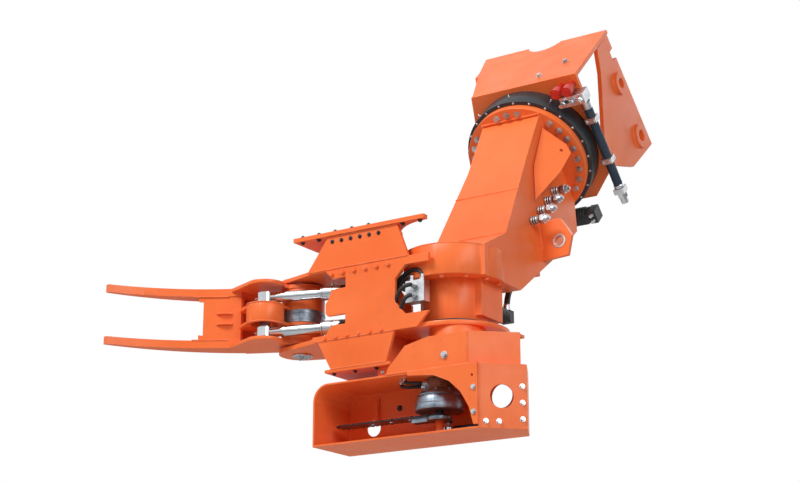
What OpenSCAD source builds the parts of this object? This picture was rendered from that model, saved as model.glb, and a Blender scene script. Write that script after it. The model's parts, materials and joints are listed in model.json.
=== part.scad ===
// Grapple saw for a crane tip: an adapter, a 45 degree wrist with an elbow arm,
// and a rotating grapple frame with a hydraulic claw and a swing-out chain saw.
// Origin: centre of the main crane pin. +Z up, the trunk stands on the -Y side.

/* [Wrist] */
// Angle of the wrist axis above the ground
wrist_angle = 45; // [40:1:50]
// Distance along the wrist axis from the crossing of the two axes to the elbow flange
wrist_reach = 1120; // [1080:5:1180]
// Radius of the elbow flange
wrist_flange_r = 350; // [335:1:360]
// Thickness of the elbow flange
wrist_flange_t = 45; // [30:1:60]
// Radius of the bolt circle on the elbow flange
wrist_bolt_circle_r = 312; // [300:1:322]
// Bolt places round the elbow flange, of which those behind the elbow box stay empty
wrist_bolts_n = 30; // [16:1:32]
// Radius of the slew housing of the wrist
wrist_housing_r = 372; // [360:1:378]
// Depth of the slew housing of the wrist
wrist_housing_t = 130; // [110:1:150]
// Radius of the spigot that runs in the slew housing of the wrist
wrist_spigot_r = 200; // [150:1:240]

/* [Crane adapter] */
// Width of the crane adapter over its cheeks
adapter_w = 810; // [780:5:860]
// Thickness of the cheeks of the adapter
cheek_t = 25; // [15:1:35]
// Thickness of the adapter's roof and base plates
adapter_plate_t = 25; // [15:1:32]
// Height of the roof above the wrist axis
roof_h = 400; // [390:1:430]
// Length of the roof along the wrist axis
roof_len = 590; // [540:5:640]
// Diameter of the main crane pin
crane_pin_d = 70; // [50:1:80]
// Diameter of the crane link pin
link_pin_d = 60; // [45:1:70]
// Distance between the two crane pins along the tilted cheek
crane_pin_pitch = 350; // [320:5:370]

/* [Elbow arm] */
// Width of the elbow box at the flange
elbow_w = 360; // [300:5:400]
// Width of the elbow box at the head
elbow_foot_w = 500; // [440:5:510]
// Radius of the round head over the rotator
head_r = 262; // [240:1:264]
// Height of the top of the head above the wrist centre
head_top = 52; // [30:1:70]
// Thickness of the round head
head_t = 160; // [130:1:165]
// Radius of the rotator housing
drum_r = 175; // [150:1:200]
// Radius of the rotator hub
rotor_hub_r = 100; // [70:1:120]

/* [Grapple frame] */
// Distance from the rotator axis to the front face of the frame
frame_front = 300; // [296:1:320]
// Thickness of the front and back plates of the frame
frame_plate_t = 20; // [12:1:20]
// Distance from the rotator axis to the back plate
frame_back = 120; // [110:1:150]
// Height of the underside of the lower plate below the wrist centre
frame_drop = 376; // [372:1:400]
// Thickness of the lower and upper pin plates
pin_plate_t = 24; // [16:1:28]
// Length of the front plate left of the rotator axis
front_len = 690; // [670:5:710]
// Height of the upper bracket with its flange
upper_bracket_h = 180; // [140:5:200]
// Height of the lower bracket with its flange
lower_bracket_h = 170; // [150:5:180]

/* [Claw] */
// Distance from the rotator axis to the claw pin, along the frame
claw_pin_x = 890; // [880:5:910]
// Distance of the claw pin in front of the rotator axis
claw_pin_y = 100; // [95:1:110]
// Diameter of the claw pin
claw_pin_d = 80; // [60:1:90]
// Outer radius of the claw hub
claw_hub_r = 115; // [90:1:118]
// Reach of the tines from the claw pin
claw_reach = 1050; // [900:10:1150]
// Thickness of the claw plates
claw_plate_t = 18; // [12:1:20]
// Thickness of the tines
tine_t = 42; // [30:1:50]
// Distance from the claw pin to the cylinder lug
lug_arm = 224; // [222:1:230]
// Outer radius of the cylinder lug tube
lug_tube_r = 100; // [96:1:104]
// Radius of the opening through the lug tube
lug_bore_r = 76; // [74:1:80]
// Diameter of the two claw cylinder rods
rod_d = 56; // [40:1:56]
// Outer diameter of the two claw cylinder barrels
barrel_d = 76; // [72:1:80]
// Diameter of the pins of the claw cylinders
cyl_pin_d = 50; // [40:1:54]

/* [Saw] */
// Length of the saw box in front
saw_box_len = 980; // [940:5:1000]
// Depth of the saw box
saw_box_depth = 330; // [320:5:350]
// Height of the saw box
saw_box_h = 320; // [300:5:340]
// Thickness of the saw box walls
saw_wall_t = 10; // [6:1:14]
// Length of the guide bar from the pivot to the tip
bar_len = 605; // [560:5:615]
// Width of the guide bar
bar_w = 84; // [70:1:90]
// Thickness of the guide bar
bar_t = 6; // [4:0.5:8]
// Diameter of the saw pivot shaft
saw_shaft_d = 40; // [30:1:50]
// Radius of the saw motor dome
motor_r = 122; // [105:1:128]

/* [Clearances] */
// Radial running clearance of every shaft in its bore
run_fit = 0.05; // [0.02:0.01:0.1]
// Axial gap between faces that turn on each other
face_gap = 0.5; // [0.3:0.1:1]

/* [Hidden] */
$fn = 48;

// Colours as the photograph shows them
paint = "#FC8648";
paint_dark = "#C9602C";
dark_steel = "#3E4247";
grey_steel = "#8A8F94";
chrome = "#E4E8EC";
rubber = "#1D1F22";
hose_blue = "#27405A";
coupling_red = "#D8382E";

// Places along the wrist axis, measured from the crossing of the two axes
flange_face = wrist_reach;
flange_back = flange_face + wrist_flange_t;
housing_front = flange_back + face_gap;
housing_back = housing_front + wrist_housing_t;
base_back = housing_back + adapter_plate_t;
spigot_end = housing_back - 16;
roof_end = housing_back + roof_len;

// Adapter
cheek_x = adapter_w / 2 - cheek_t;
base_low = 360;
roof_near_x = -265;
crane_pin_h = -250;
crane_pin_l = base_back + 450;
link_pin_h = crane_pin_h + crane_pin_pitch;
hose_r = 26;
hose_x = 415;
hose_l = housing_back - hose_r - 4.5;
pin_y = crane_pin_l * cos(wrist_angle) - crane_pin_h * sin(wrist_angle);
pin_z = crane_pin_l * sin(wrist_angle) + crane_pin_h * cos(wrist_angle);

// Heights in the grapple frame, measured from the wrist centre
head_low = head_top - head_t;
plate_low = -frame_drop;
plate_top = plate_low + pin_plate_t;
drum_low = plate_top + 12 + face_gap;
front_in = frame_front - frame_plate_t;
sweep_r = head_r + 13;
elbow_h = 272;
elbow_left = 175;
rotator_motor_y = 140;

// Claw
claw_top = -12;
claw_bottom = plate_top + 15;
claw_h = claw_top - claw_bottom;
lug_angle = 243.4;
lug_x = -claw_pin_x + lug_arm * cos(lug_angle);
lug_y = -claw_pin_y + lug_arm * sin(lug_angle);
cyl_base_x = -320;
cyl_base_y = -108;
cyl_run = norm([lug_x - cyl_base_x, lug_y - cyl_base_y]);
cyl_dir = atan2(lug_y - cyl_base_y, lug_x - cyl_base_x);
rod_z_high = claw_top - claw_plate_t - barrel_d / 2 - 24;
rod_z_low = claw_bottom + claw_plate_t + barrel_d / 2 + 2;
barrel_len = 370;
rod_len = 372;
eye_r = 45;
eye_t = 50;
lug_tube_top = rod_z_high - barrel_d / 2 - 4;
lug_tube_low = rod_z_low + barrel_d / 2 + 4;
gusset_t = 14;
lug_pin_r = 28;

// Saw
saw_top = plate_low - lower_bracket_h - 54;
saw_low = saw_top - saw_box_h;
saw_right = 310;
saw_left = saw_right - saw_box_len;
saw_front = -frame_front;
saw_back = saw_front + saw_box_depth;
end_run = 172;
back_cut = 80;
mount_top = -436;
saw_x = -16;
saw_y = -130;
bar_z = saw_top - 200;
arm_t = 24;
arm_low = bar_z - bar_t / 2 - arm_t;
arm_step_t = arm_t - 3;
bar_tail = 46;
tooth_r = 27;
feed_x = saw_x + 180;
feed_y = saw_y + 70;
feed_z = bar_z - 66;
crank_arm = 62;
crank_angle = 76;
crank_pin_r = 9;
crank_play = 12;
crank_x = saw_x + crank_arm * cos(crank_angle);
crank_y = saw_y + crank_arm * sin(crank_angle);
feed_dir = atan2(crank_y - feed_y, crank_x - feed_x);
feed_run = norm([crank_x - feed_x, crank_y - feed_y]);
feed_eye_r = crank_pin_r + crank_play + 8;

// Everything is drawn from the wrist centre and then moved to the crane pin.
module at_pin() {
    translate([0, -pin_y, -pin_z]) children();
}

// Local z runs up the wrist axis, local y runs down and back.
module along_wrist() {
    at_pin() rotate([wrist_angle - 90, 0, 0]) children();
}

// A plate standing across the frame: points are x and z, its back face is at y.
module plate_xz(points, y, t) {
    translate([0, y, 0]) rotate([90, 0, 0]) linear_extrude(t) polygon(points);
}

// A plate standing along the frame: points are y and z, its left face is at x.
module plate_yz(points, x, t) {
    translate([x, 0, 0]) rotate([90, 0, 90]) linear_extrude(t) polygon(points);
}

// A round bar along z.
module bar(x, y, z, h, r) {
    translate([x, y, z]) cylinder(h = h, r = r);
}

// A hexagon bolt head with a round washer under it, seated at z = 0.
module bolt_head(s) {
    cylinder(h = s * 0.12, r = s * 0.75, $fn = 24);
    translate([0, 0, s * 0.12]) cylinder(h = s * 0.5, r = s * 0.577, $fn = 6);
}

// Crane adapter

module cheek_outline(x) {
    difference() {
        plate_yz([
            [60, base_back], [200, base_back], [342, base_back + 240],
            [373, base_back + 585], [-roof_h + adapter_plate_t, roof_end - 20],
            [-roof_h + adapter_plate_t, roof_end - 210], [-250, base_back + 285]
        ], x, cheek_t);
        translate([x - 1, -285, base_back + 500]) cube([cheek_t + 2, 60, 60]);
    }
}

module pin_boss(h_place, l_place, d) {
    for (side = [-1, 1]) {
        translate([side * (cheek_x - 20), -h_place, l_place]) rotate([0, side * 90, 0])
            cylinder(h = cheek_t + 40, r = d / 2 + 35);
    }
}

module pin_bore(h_place, l_place, d) {
    translate([-adapter_w, -h_place, l_place]) rotate([0, 90, 0])
        cylinder(h = 2 * adapter_w, r = d / 2 + run_fit);
}

// The base plate carries the slew housing in front; its left side is drawn in.
module adapter_base() {
    color(paint) along_wrist() difference() {
        translate([0, 0, housing_back]) linear_extrude(adapter_plate_t) polygon([
            [roof_near_x, -roof_h], [adapter_w / 2, -roof_h], [adapter_w / 2, 200],
            [adapter_w / 2 - 160, base_low], [160 - adapter_w / 2, base_low],
            [-adapter_w / 2, 200], [-adapter_w / 2, 60], [roof_near_x - 57, -180]
        ]);
        translate([0, 0, housing_back - 1]) cylinder(h = adapter_plate_t + 2, r = 120);
    }
}

module adapter_cheeks() {
    color(paint) along_wrist() difference() {
        union() {
            cheek_outline(cheek_x);
            cheek_outline(-cheek_x - cheek_t);
            pin_boss(crane_pin_h, crane_pin_l, crane_pin_d);
            pin_boss(link_pin_h, crane_pin_l, link_pin_d);
        }
        pin_bore(crane_pin_h, crane_pin_l, crane_pin_d);
        pin_bore(link_pin_h, crane_pin_l, link_pin_d);
    }
}

module adapter_ribs() {
    color(paint) along_wrist() for (x = [-150, 130]) {
        plate_yz([
            [-roof_h + adapter_plate_t, base_back],
            [-roof_h + adapter_plate_t, base_back + 330],
            [-roof_h + 110, base_back + 330], [-130, base_back]
        ], x, 20);
    }
}

// The roof widens from the base plate towards the crane.
module adapter_roof() {
    color(paint) along_wrist() difference() {
        translate([0, adapter_plate_t - roof_h, 0]) rotate([90, 0, 0])
            linear_extrude(adapter_plate_t) polygon([
                [roof_near_x, base_back], [adapter_w / 2, base_back], [adapter_w / 2, roof_end],
                [-adapter_w / 2, roof_end], [roof_near_x - 95, base_back + 330]
            ]);
        translate([0, -roof_h - 1, roof_end + 30]) rotate([-90, 0, 0])
            cylinder(h = adapter_plate_t + 2, r = 110);
    }
}

module wrist_housing() {
    color(dark_steel) along_wrist() difference() {
        union() {
            bar(0, 0, housing_front, wrist_housing_t, wrist_housing_r);
            translate([-260, 150, housing_front])
                cube([318, wrist_housing_r - 20, wrist_housing_t]);
        }
        bar(0, 0, housing_front - 1, wrist_housing_t - 14, wrist_spigot_r + run_fit);
    }
}

module wrist_motor() {
    color(dark_steel) along_wrist() translate([58, wrist_housing_r + 66, housing_front + wrist_housing_t / 2])
        rotate([0, 90, 0]) {
            cylinder(h = 24, r = 58);
            translate([0, 0, 24]) cylinder(h = 120, r = 48);
            translate([-40, -40, 144]) cube([80, 80, 46]);
        }
}

module bulkhead_block() {
    color(chrome) along_wrist() difference() {
        translate([300, -310, housing_back - 95]) cube([145, 62, 95]);
        translate([340, -280, housing_back - 96]) cylinder(h = 40, r = 12);
    }
}

module couplings() {
    color(coupling_red) along_wrist() for (x = [300, 368]) {
        translate([x, -345, housing_back]) mirror([0, 0, 1]) {
            cylinder(h = 70, r = 20);
            translate([0, 0, 70]) cylinder(h = 45, r = 30);
            translate([0, 0, 115]) cylinder(h = 8, r = 22);
        }
    }
}

// The hose leaves the block and runs down beside the slew housing in two clamps.
hose_path = [
    for (y = [-248, -220, -150, -60, 60, 160, 250, 330, 350]) [hose_x, y, hose_l]
];

module hose_clamps() {
    color(grey_steel) along_wrist() {
        for (y = [-140, 120, 318]) {
            difference() {
                translate([hose_x - 31, y, hose_l - hose_r - 6])
                    cube([62, 32, housing_back - hose_l + hose_r + 6]);
                translate([hose_x, y - 1, hose_l]) rotate([-90, 0, 0]) cylinder(h = 34, r = hose_r);
            }
        }
        translate([hose_x, 350, hose_l]) rotate([-90, 0, 0]) {
            cylinder(h = 30, r = 30, $fn = 6);
            translate([0, 0, 30]) cylinder(h = 36, r = 22);
        }
    }
}

function ring_at(p, d, r, n) =
    let (c = cross(d, [1, 0.35, 0]), side = c / norm(c), up = cross(side, d))
    [for (i = [0:n - 1]) p + r * (cos(360 * i / n) * side + sin(360 * i / n) * up)];
function way_at(path, i) =
    let (a = path[max(i - 1, 0)], b = path[min(i + 1, len(path) - 1)]) (b - a) / norm(b - a);

module sweep_tube(path, r, n) {
    rings = [for (i = [0:len(path) - 1]) each ring_at(path[i], way_at(path, i), r, n)];
    sides = [for (i = [0:len(path) - 2], k = [0:n - 1])
        [i * n + k, i * n + (k + 1) % n, (i + 1) * n + (k + 1) % n, (i + 1) * n + k]];
    first = [for (k = [0:n - 1]) n - 1 - k];
    last = [for (k = [0:n - 1]) (len(path) - 1) * n + k];
    polyhedron(points = rings, faces = concat(sides, [first, last]), convexity = 6);
}

module adapter_hose() {
    color(hose_blue) along_wrist() sweep_tube(hose_path, hose_r, 10);
}

module adapter_bolts() {
    color(chrome) along_wrist() for (p = [[150, base_back + 60], [270, base_back + 190]]) {
        translate([p[0], -roof_h, p[1]]) rotate([90, 0, 0]) bolt_head(26);
    }
}

// Elbow arm

function elbow_side(z) =
    elbow_foot_w / 2 - (z - 170) * (elbow_foot_w - elbow_w - 20) / 2 / 490;

module fitting_spots() {
    for (i = [0:3]) {
        y = 400 + i * 100;
        z = 310 + i * 85;
        translate([elbow_side(z) - 25, y, z]) rotate([0, 90, 0]) children();
    }
}

// A point of the elbow, from its place along and above the wrist axis.
function wrist_yz(l, h) = [
    l * cos(wrist_angle) - h * sin(wrist_angle), l * sin(wrist_angle) + h * cos(wrist_angle)
];

module wrist_flange() {
    color(paint_dark) along_wrist() {
        bar(0, 0, flange_face, wrist_flange_t, wrist_flange_r);
        bar(0, 0, flange_back, spigot_end - flange_back, wrist_spigot_r);
    }
}

module wrist_bolts() {
    color(chrome) along_wrist() for (i = [0:wrist_bolts_n - 1]) {
        a = 360 * (i + 0.5) / wrist_bolts_n;
        beside = abs(wrist_bolt_circle_r * cos(a) - 10) > elbow_w / 2 + 22;
        above = -wrist_bolt_circle_r * sin(a) > elbow_h + 21;
        if (beside || above) {
            rotate(a) translate([wrist_bolt_circle_r, 0, flange_face])
                mirror([0, 0, 1]) bolt_head(26);
        }
    }
}

module elbow_box() {
    color(paint) at_pin() difference() {
        union() {
            intersection() {
                plate_yz([
                    wrist_yz(flange_face, elbow_h), [430, 660], [100, 165], [-120, head_top],
                    [-120, head_low], [250, head_low], [620, 150], [960, 400],
                    wrist_yz(flange_face, -elbow_h)
                ], -300, 600);
                plate_xz([
                    [-elbow_left, head_low], [elbow_foot_w / 2, head_low],
                    [elbow_foot_w / 2, 170], [elbow_w / 2 + 10, 660], [elbow_w / 2 + 10, 1100],
                    [10 - elbow_w / 2, 1100], [10 - elbow_w / 2, 660], [-elbow_left, 170]
                ], 1100, 1400);
            }
            bar(0, 0, head_low, head_t, head_r);
            translate([98, 598, 78]) cube([44, 60, 72]);
        }
        fitting_spots() cylinder(h = 60, r = 20);
        rotate([wrist_angle - 90, 0, 0])
            translate([-500, -500, flange_face]) cube([1000, 1400, 400]);
    }
}

// The guard stands on the side of the elbow, leaning back like its front face.
module elbow_guard() {
    foot = wrist_yz(flange_face - 30, 200);
    color(paint) at_pin() translate([elbow_w / 2 + 10, foot[0], foot[1]]) rotate([-22.8, 0, 0])
        rotate([0, 0, 40]) difference() {
            plate_xz([[0, 0], [150, -70], [185, -120], [150, -265], [48, -500], [0, -273]],
                0, 14);
            translate([130, 1, -120]) rotate([90, 0, 0]) cylinder(h = 16, r = 10);
        }
}

module fitting_row() {
    color(chrome) at_pin() fitting_spots() {
        cylinder(h = 90, r = 20);
        translate([0, 0, 90]) cylinder(h = 22, r = 28, $fn = 6);
        translate([0, 0, 112]) cylinder(h = 18, r = 18);
    }
}

module lifting_lug() {
    color(paint) at_pin() difference() {
        plate_xz([
            [elbow_side(170), 110], [400, 120], [425, 230], [360, 330],
            [elbow_side(330), 330], [elbow_side(170), 170]
        ], 520, 25);
        translate([350, 521, 205]) rotate([90, 0, 0]) cylinder(h = 27, r = 28);
    }
}

module rotator_drum() {
    color(paint_dark) at_pin() difference() {
        union() {
            bar(0, 0, drum_low, head_low - drum_low, drum_r);
            translate([0, -70, drum_low + 40])
                cube([200, 70 + rotator_motor_y, head_low - drum_low - 40]);
        }
        bar(0, 0, drum_low - 1, head_low - drum_low - 20, rotor_hub_r + run_fit);
    }
}

module rotator_motor() {
    color(dark_steel) at_pin() translate([150, rotator_motor_y, drum_low + 105]) rotate([-90, 0, 0]) {
        cylinder(h = 20, r = 42);
        translate([0, 0, 20]) cylinder(h = 90, r = 36);
        translate([-32, -32, 110]) cube([64, 64, 40]);
    }
}

// The black hose follows the elbow's back from the flange side to the rotator.
elbow_hose_path = [
    [120, 598, 100], [120, 582, 100], [120, 540, 70], [120, 470, 21], [120, 410, -21],
    [122, 365, -56], [130, 330, -86], [142, 296, -122], [149, 275, -160],
    [150, 270, -190], [150, 270, -202]
];

module elbow_hose() {
    color(rubber) at_pin() sweep_tube(elbow_hose_path, 16, 10);
}

module drum_bolts() {
    color(grey_steel) at_pin() for (i = [0:11]) {
        rotate(15 + 30 * i) translate([head_r - 28, 0, head_low]) mirror([0, 0, 1]) bolt_head(22);
    }
}

// Grapple frame

module rotator_hub() {
    color(grey_steel) at_pin() {
        bar(0, 0, plate_top, 12, drum_r + 30);
        bar(0, 0, plate_top + 12, head_low - 40 - plate_top - 12, rotor_hub_r);
    }
}

// Round ears run into the pin plate, which is cut clear of the turning head.
module pin_plate_outline() {
    translate([-claw_pin_x, -claw_pin_y]) circle(r = 125);
    polygon([
        [-claw_pin_x - 60, -claw_pin_y - 109], [-front_len, -front_in], [0, -front_in],
        [0, frame_back - frame_plate_t], [-front_len, frame_back - frame_plate_t],
        [-claw_pin_x - 30, 20]
    ]);
}

module pin_plate_holes() {
    translate([-claw_pin_x, -claw_pin_y]) circle(r = claw_pin_d / 2);
    translate([cyl_base_x, cyl_base_y]) circle(r = cyl_pin_d / 2);
}

module lower_plate() {
    color(paint) at_pin() translate([0, 0, plate_low]) linear_extrude(pin_plate_t)
        difference() {
            union() {
                difference() {
                    pin_plate_outline();
                    translate([-5, -600]) square([600, 1200]);
                }
                circle(r = front_in);
            }
            pin_plate_holes();
            circle(r = 70);
        }
}

module upper_plate() {
    color(paint) at_pin() linear_extrude(pin_plate_t - 4) difference() {
        pin_plate_outline();
        pin_plate_holes();
        translate([-sweep_r, -frame_front]) square([600, 600]);
        polygon([[1 - sweep_r, -60], [-450, frame_back], [1 - sweep_r, frame_back]]);
    }
}

module front_plate() {
    slot_end = -475;
    color(paint) at_pin() plate_xz([
        [-front_len, 0], [30, 0], [30, -45], [-110, -45], [-170, -110], [-170, -230],
        [-110, -300], [30, -300], [-40, plate_low], [-front_len + 10, plate_low],
        [-front_len + 10, -348], [-600, -348], [-560, -300],
        [slot_end, -300], [slot_end, -248], [-585, -248], [-600, -232], [-600, -180],
        [-585, -164], [-560, -108], [slot_end, -108], [slot_end, -53], [-560, -53],
        [-600, -8], [-front_len, -8]
    ], -front_in, frame_plate_t);
}

module back_plate() {
    color(paint) at_pin() plate_xz([
        [-front_len, plate_low], [-330, plate_low], [-330, -140], [-450, pin_plate_t - 4],
        [-front_len + 40, pin_plate_t - 4], [-front_len, -40]
    ], frame_back, frame_plate_t);
}

module upper_bracket() {
    top = upper_bracket_h;
    base = pin_plate_t - 4;
    color(paint) at_pin() difference() {
        union() {
            plate_xz([[-720, 0], [-90, 0], [-160, top], [-587, top]], -front_in, frame_plate_t);
            plate_xz([[-690, base], [-320, base], [-320, top], [-587, top]], -88, 12);
            for (x = [-600, -340]) {
                translate([x, -front_in, base]) cube([12, front_in - 100, top - base]);
            }
            translate([-805, -frame_front - 12, top]) cube([815, frame_front - 76, 22]);
        }
        bar(0, 0, base - 100, 400, sweep_r);
    }
}

module lower_bracket() {
    low = plate_low - lower_bracket_h;
    color(paint) at_pin() {
        plate_xz([[-648, plate_low], [-175, plate_low], [-224, low + 16], [-563, low + 16]],
            -front_in, frame_plate_t);
        plate_xz([[-648, plate_low], [-175, plate_low], [-224, low + 16], [-563, low + 16]],
            -40, 16);
        for (x = [-560, -260]) {
            translate([x, -front_in, low + 16]) cube([16, front_in - 56, lower_bracket_h - 16]);
        }
        translate([-600, -frame_front, low]) cube([400, 270, 16]);
    }
}

module claw_pin() {
    color(grey_steel) at_pin()
        bar(-claw_pin_x, -claw_pin_y, plate_low, frame_drop + pin_plate_t - 4, claw_pin_d / 2);
}

module claw_pin_caps() {
    color(chrome) at_pin() for (z = [plate_low - 12, pin_plate_t - 4]) {
        bar(-claw_pin_x, -claw_pin_y, z, 12, claw_pin_d / 2 + 14);
    }
}

module cylinder_pin() {
    color(grey_steel) at_pin()
        bar(cyl_base_x, cyl_base_y, plate_low, frame_drop + pin_plate_t - 4, cyl_pin_d / 2);
}

module valve_block() {
    color(chrome) at_pin() translate([-120, -front_in, -240]) difference() {
        cube([110, 55, 112]);
        for (z = [30, 82]) {
            translate([55, -1, z]) rotate([-90, 0, 0]) cylinder(h = 30, r = 13);
        }
    }
}

frame_hose_path = [
    [-120, -250, -160], [-134, -250, -160], [-165, -251, -150], [-195, -252, -158],
    [-218, -252, -185], [-226, -250, -225], [-224, -246, -270], [-215, -242, -310],
    [-210, -240, -340], [-210, -240, -352]
];

module frame_hose() {
    color(rubber) at_pin() sweep_tube(frame_hose_path, 13, 10);
}

module frame_bolts() {
    color(paint_dark) at_pin() {
        for (x = [-560:70:-210]) {
            translate([x, -frame_front, -26]) rotate([90, 0, 0]) bolt_head(20);
        }
        for (x = [-600:70:-240]) {
            translate([x, -frame_front, plate_low + 12]) rotate([90, 0, 0]) bolt_head(18);
        }
    }
}

// Claw, drawn open as it rests

module claw_place() {
    at_pin() translate([-claw_pin_x, -claw_pin_y, 0]) children();
}

// The tine is a curved blade: two arcs that meet at the tip.
function arc_points(a, b, sag, n) =
    let (m = (a + b) / 2, half = norm(b - a) / 2, r = (half * half + sag * sag) / (2 * sag),
        d = (b - a) / norm(b - a), c = m + (r - sag) * [-d[1], d[0]],
        a0 = atan2(a[1] - c[1], a[0] - c[0]), sweep = 2 * asin(half / r))
    [for (i = [0:n]) c + r * [cos(a0 + sweep * i / n), sin(a0 + sweep * i / n)]];

tine_tip = claw_reach * [cos(218), sin(218)];
tine_back = [-110, 40];
tine_root = [-150, -150];

module tine_outline() {
    polygon(concat(
        arc_points(tine_back, tine_tip, 95, 14),
        [tine_tip + [22, -8]],
        [for (i = [13:-1:0]) arc_points(tine_root, tine_tip + [22, -8], 70, 13)[i]]
    ));
}

module claw_plate_outline() {
    difference() {
        union() {
            circle(r = claw_hub_r);
            tine_outline();
            translate([lug_arm * cos(lug_angle), lug_arm * sin(lug_angle)])
                circle(r = lug_tube_r);
            polygon([
                [-110, 40], [-330, -60], [-330, -215], lug_arm * [cos(lug_angle), sin(lug_angle)]
                + [-20, -98], [0, -100]
            ]);
        }
        circle(r = claw_pin_d / 2 + 12);
    }
}

module tine_blade() {
    intersection() {
        tine_outline();
        translate([-1400, -1200]) square([1130, 1400]);
    }
}

module claw_upper() {
    color(paint) claw_place() {
        translate([0, 0, claw_top - claw_plate_t]) linear_extrude(claw_plate_t)
            claw_plate_outline();
        translate([0, 0, claw_top - tine_t]) linear_extrude(tine_t - claw_plate_t) tine_blade();
    }
}

module claw_lower() {
    color(paint) claw_place() {
        translate([0, 0, claw_bottom]) linear_extrude(claw_plate_t) claw_plate_outline();
        translate([0, 0, claw_bottom + claw_plate_t]) linear_extrude(tine_t - claw_plate_t)
            tine_blade();
    }
}

module claw_web() {
    low = claw_bottom + tine_t;
    high = claw_top - tine_t;
    color(paint_dark) claw_place() difference() {
        translate([0, 0, low]) linear_extrude(high - low) intersection() {
            difference() {
                offset(delta = -4) tine_outline();
                offset(delta = -26) tine_outline();
            }
            translate([-470, -420]) square([200, 500]);
        }
        translate([-560, -100, (low + high) / 2]) rotate([0, 90, 0]) scale([1, 3, 1])
            cylinder(h = 110, r = (high - low) / 2 - 8);
    }
}

module claw_hub() {
    color(paint_dark) claw_place() difference() {
        bar(0, 0, claw_bottom + claw_plate_t, claw_h - 2 * claw_plate_t, claw_hub_r);
        bar(0, 0, claw_bottom, claw_h, claw_pin_d / 2 + run_fit);
    }
}

module claw_washers() {
    color(chrome) claw_place() for (z = [[plate_top + face_gap, claw_bottom + claw_plate_t],
        [claw_top - claw_plate_t, -face_gap]]) {
        difference() {
            bar(0, 0, z[0], z[1] - z[0], claw_pin_d / 2 + 12);
            bar(0, 0, z[0] - 1, z[1] - z[0] + 2, claw_pin_d / 2 + run_fit);
        }
    }
}

module lug_tube() {
    color(paint_dark) claw_place()
        translate([lug_arm * cos(lug_angle), lug_arm * sin(lug_angle), 0]) difference() {
            union() {
                bar(0, 0, lug_tube_low, lug_tube_top - lug_tube_low, lug_tube_r);
                for (z = [lug_tube_low, lug_tube_top - gusset_t]) {
                    translate([0, 0, z]) linear_extrude(gusset_t) lug_gusset();
                }
            }
            bar(0, 0, lug_tube_low - 1, lug_tube_top - lug_tube_low + 2, lug_bore_r);
        }
}

// A flat gusset ties the lug tube to the hub and to the web between the tines.
module lug_gusset() {
    x = -lug_arm * cos(lug_angle);
    y = -lug_arm * sin(lug_angle);
    difference() {
        polygon([
            [-20, -lug_tube_r], [-270 + x, -210 + y], [-270 + x, -70 + y], [x - 90, y + 20],
            [x, y], [lug_tube_r - 10, 20]
        ]);
        translate([x, y]) circle(r = claw_hub_r);
    }
}

// Claw cylinders: local x runs from the base pin to the lug.
module cyl_place(z) {
    at_pin() translate([cyl_base_x, cyl_base_y, z]) rotate([0, 0, cyl_dir]) children();
}

module barrel(z) {
    cyl_place(z) difference() {
        union() {
            translate([0, 0, -eye_t / 2]) cylinder(h = eye_t, r = eye_r);
            translate([30, 0, 0]) rotate([0, 90, 0]) cylinder(h = barrel_len - 30, r = barrel_d / 2);
        }
        translate([0, 0, -60]) cylinder(h = 120, r = cyl_pin_d / 2 + run_fit);
        translate([50, 0, 0]) rotate([0, 90, 0]) cylinder(h = barrel_len, r = rod_d / 2 + run_fit);
        translate([-100, -100, eye_t / 2]) cube([150, 200, 60]);
        translate([-100, -100, -eye_t / 2 - 60]) cube([150, 200, 60]);
    }
}

module rod(z) {
    cyl_place(z) difference() {
        union() {
            translate([cyl_run, 0, -eye_t / 2]) cylinder(h = eye_t, r = eye_r);
            translate([cyl_run - rod_len, 0, 0]) rotate([0, 90, 0])
                cylinder(h = rod_len, r = rod_d / 2);
        }
        translate([cyl_run, 0, -60]) cylinder(h = 120, r = lug_pin_r);
    }
}

module barrel_upper() {
    color(dark_steel) barrel(rod_z_high);
}

module barrel_lower() {
    color(dark_steel) barrel(rod_z_low);
}

module rod_upper() {
    color(chrome) rod(rod_z_high);
}

module rod_lower() {
    color(chrome) rod(rod_z_low);
}

module rod_pin() {
    color(grey_steel) cyl_place(0) translate([cyl_run, 0, rod_z_low - eye_t / 2])
        cylinder(h = rod_z_high - rod_z_low + eye_t, r = lug_pin_r);
}

// Saw box: open in front, with a slanted right end

module box_plan() {
    polygon([
        [saw_left, saw_front], [saw_right, saw_front],
        [saw_right + end_run, saw_front + end_run], [saw_right + end_run - back_cut, saw_back],
        [saw_left, saw_back]
    ]);
}

// The front outline has a rounded shoulder over the tip of the bar.
module box_face(inset) {
    shoulder = 90;
    difference() {
        translate([saw_left + inset, saw_low + inset])
            square([saw_box_len + end_run - 2 * inset, saw_box_h - 2 * inset]);
        difference() {
            translate([saw_left - 1, saw_top - shoulder]) square([shoulder + 1, shoulder + 1]);
            translate([saw_left + shoulder, saw_top - shoulder]) circle(r = shoulder - inset);
        }
    }
}

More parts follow.
